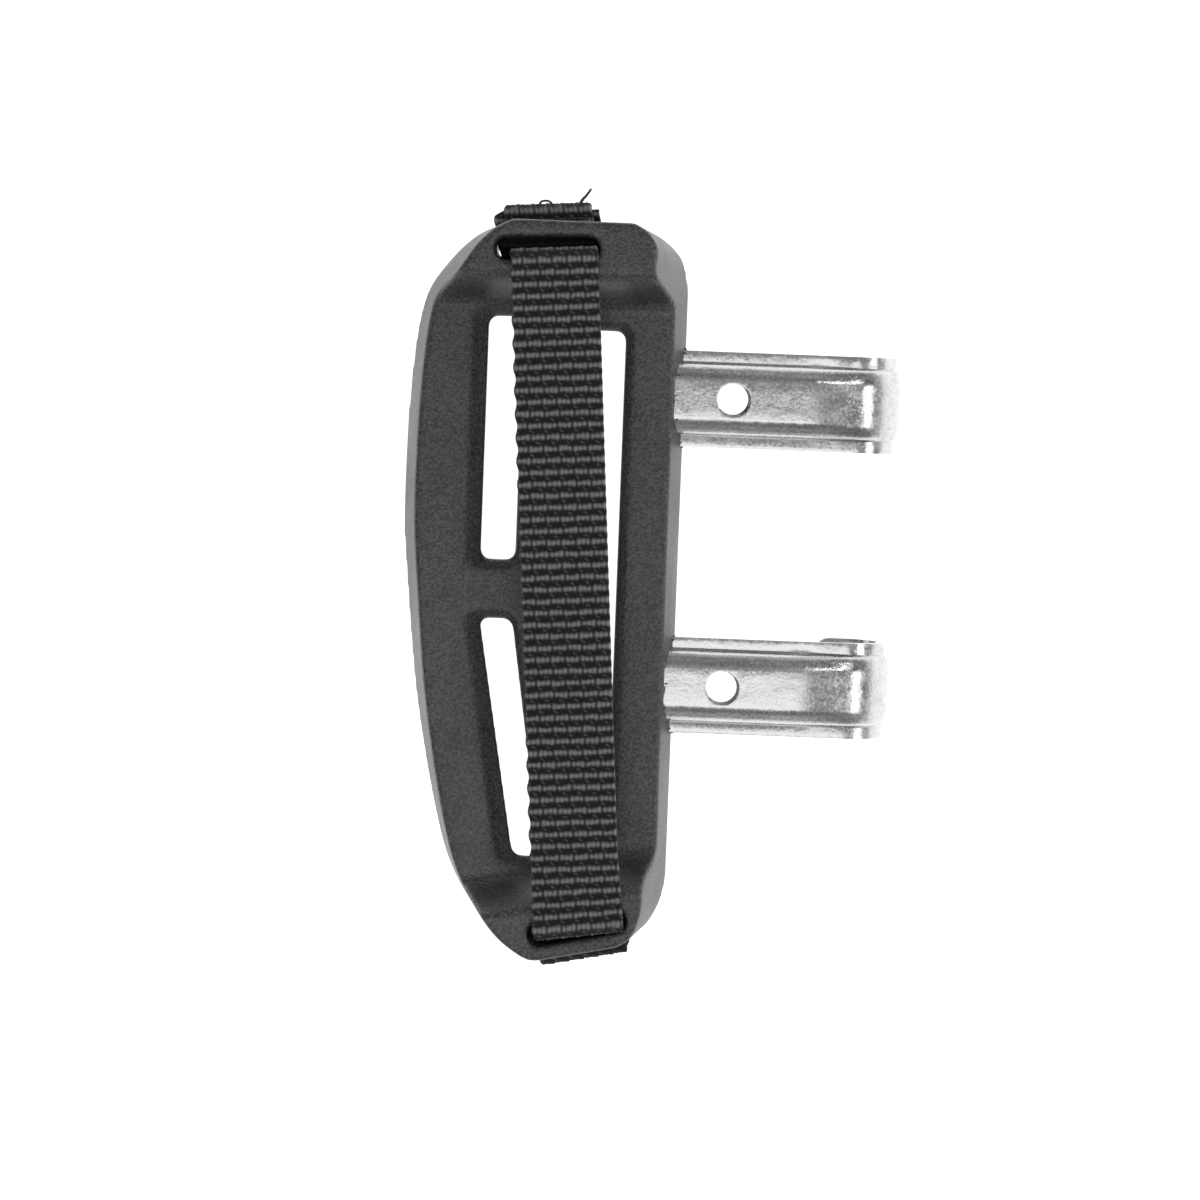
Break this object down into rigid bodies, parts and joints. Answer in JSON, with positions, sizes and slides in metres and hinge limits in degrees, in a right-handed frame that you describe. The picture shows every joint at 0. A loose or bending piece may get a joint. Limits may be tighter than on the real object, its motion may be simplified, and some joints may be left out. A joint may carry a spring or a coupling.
{
  "type": "strapped hook-on grip plate",
  "caption": "Hollow moulded D-shaped plate with a raised hump at each end, a webbing strap from hump to hump, and pressed steel hook brackets on its side.",
  "frame": {"origin": "on the plane of the plate's back rim, on the rib across the middle of the plate", "axes": "+Z out of the front face, +Y along the plate and the strap, +X out of the side that carries the hook brackets"},
  "size_m": [0.1163, 0.1772, 0.047],
  "materials": {
    "black_moulding": "fine spark-eroded satin grain",
    "zinc_plated_steel": "bright zinc plate on pressed sheet",
    "black_webbing": "ribbed narrow webbing",
    "black_thread": "bonded polyester thread"
  },
  "bodies": {
    "root": {"grip_plate": "black_moulding", "upper_hook_bracket": "zinc_plated_steel", "lower_hook_bracket": "zinc_plated_steel", "strap": "black_webbing", "upper_stop_stitching": "black_thread", "lower_stop_stitching": "black_thread"}
  },
  "joints": []
}
